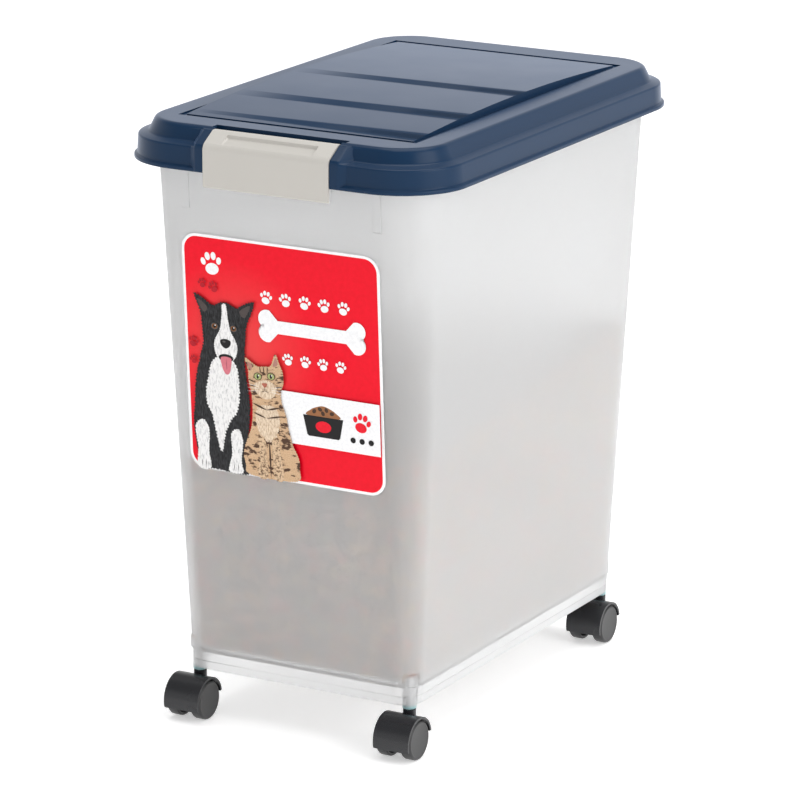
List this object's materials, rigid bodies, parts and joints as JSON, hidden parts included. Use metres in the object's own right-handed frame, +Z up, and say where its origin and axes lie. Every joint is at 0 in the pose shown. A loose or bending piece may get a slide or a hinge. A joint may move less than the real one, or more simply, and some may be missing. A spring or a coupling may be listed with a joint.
{
  "type": "pet food bin",
  "caption": "Tall tapered frosted storage bin on swivel casters, with a hinged raised-panel lid, a seal under it and a pivoting front latch.",
  "frame": {"origin": "on the floor, under the centre of the bounding box", "axes": "+X to the right seen from the front, -Y towards the front (the latch side), +Z up"},
  "size_m": [0.2716, 0.4212, 0.4735],
  "materials": {
    "frosted_plastic": "translucent natural polypropylene, satin",
    "navy_plastic": "fine satin texture",
    "grey_plastic": "satin",
    "seal_foam": "soft foam",
    "label_film": null,
    "caster_plastic": "satin",
    "steel": "plated"
  },
  "bodies": {
    "bin": {"bin": "frosted_plastic", "label": "label_film", "caster_front_left_stem": "steel", "caster_front_left_grip_ring": "steel", "caster_front_right_stem": "steel", "caster_front_right_grip_ring": "steel", "caster_rear_left_stem": "steel", "caster_rear_left_grip_ring": "steel", "caster_rear_right_stem": "steel", "caster_rear_right_grip_ring": "steel"},
    "lid": {"lid": "navy_plastic", "lid_gasket": "seal_foam"},
    "latch": {"latch": "grey_plastic"},
    "caster_front_left": {"caster_front_left_hood": "caster_plastic", "caster_front_left_axle": "steel"},
    "caster_front_left_wheel_left": {"caster_front_left_wheel_left": "caster_plastic"},
    "caster_front_left_wheel_right": {"caster_front_left_wheel_right": "caster_plastic"},
    "caster_front_right": {"caster_front_right_hood": "caster_plastic", "caster_front_right_axle": "steel"},
    "caster_front_right_wheel_left": {"caster_front_right_wheel_left": "caster_plastic"},
    "caster_front_right_wheel_right": {"caster_front_right_wheel_right": "caster_plastic"},
    "caster_rear_left": {"caster_rear_left_hood": "caster_plastic", "caster_rear_left_axle": "steel"},
    "caster_rear_left_wheel_left": {"caster_rear_left_wheel_left": "caster_plastic"},
    "caster_rear_left_wheel_right": {"caster_rear_left_wheel_right": "caster_plastic"},
    "caster_rear_right": {"caster_rear_right_hood": "caster_plastic", "caster_rear_right_axle": "steel"},
    "caster_rear_right_wheel_left": {"caster_rear_right_wheel_left": "caster_plastic"},
    "caster_rear_right_wheel_right": {"caster_rear_right_wheel_right": "caster_plastic"}
  },
  "joints": [
    {"name": "lid_hinge", "type": "hinge", "parent": "bin", "child": "lid", "pos_m": [0, 0.2064, 0.432], "axis": [-1, 0, 0], "range_deg": [0, 105]},
    {"name": "latch_pivot", "type": "hinge", "parent": "lid", "child": "latch", "pos_m": [0, -0.1929, 0.4638], "axis": [-1, 0, 0], "range_deg": [0, 100]},
    {"name": "caster_front_left_swivel", "type": "hinge", "parent": "bin", "child": "caster_front_left", "pos_m": [-0.0913, -0.1561, 0], "axis": [0, 0, 1], "continuous": true},
    {"name": "caster_front_left_left_spin", "type": "hinge", "parent": "caster_front_left", "child": "caster_front_left_wheel_left", "pos_m": [-0.0913, -0.1672, 0.015], "axis": [1, 0, 0], "continuous": true},
    {"name": "caster_front_left_right_spin", "type": "hinge", "parent": "caster_front_left", "child": "caster_front_left_wheel_right", "pos_m": [-0.0913, -0.1672, 0.015], "axis": [1, 0, 0], "continuous": true},
    {"name": "caster_front_right_swivel", "type": "hinge", "parent": "bin", "child": "caster_front_right", "pos_m": [0.0913, -0.1561, 0], "axis": [0, 0, 1], "continuous": true},
    {"name": "caster_front_right_left_spin", "type": "hinge", "parent": "caster_front_right", "child": "caster_front_right_wheel_left", "pos_m": [0.0913, -0.1672, 0.015], "axis": [1, 0, 0], "continuous": true},
    {"name": "caster_front_right_right_spin", "type": "hinge", "parent": "caster_front_right", "child": "caster_front_right_wheel_right", "pos_m": [0.0913, -0.1672, 0.015], "axis": [1, 0, 0], "continuous": true},
    {"name": "caster_rear_left_swivel", "type": "hinge", "parent": "bin", "child": "caster_rear_left", "pos_m": [-0.0913, 0.1595, 0], "axis": [0, 0, 1], "continuous": true},
    {"name": "caster_rear_left_left_spin", "type": "hinge", "parent": "caster_rear_left", "child": "caster_rear_left_wheel_left", "pos_m": [-0.0913, 0.1484, 0.015], "axis": [1, 0, 0], "continuous": true},
    {"name": "caster_rear_left_right_spin", "type": "hinge", "parent": "caster_rear_left", "child": "caster_rear_left_wheel_right", "pos_m": [-0.0913, 0.1484, 0.015], "axis": [1, 0, 0], "continuous": true},
    {"name": "caster_rear_right_swivel", "type": "hinge", "parent": "bin", "child": "caster_rear_right", "pos_m": [0.0913, 0.1595, 0], "axis": [0, 0, 1], "continuous": true},
    {"name": "caster_rear_right_left_spin", "type": "hinge", "parent": "caster_rear_right", "child": "caster_rear_right_wheel_left", "pos_m": [0.0913, 0.1484, 0.015], "axis": [1, 0, 0], "continuous": true},
    {"name": "caster_rear_right_right_spin", "type": "hinge", "parent": "caster_rear_right", "child": "caster_rear_right_wheel_right", "pos_m": [0.0913, 0.1484, 0.015], "axis": [1, 0, 0], "continuous": true}
  ]
}
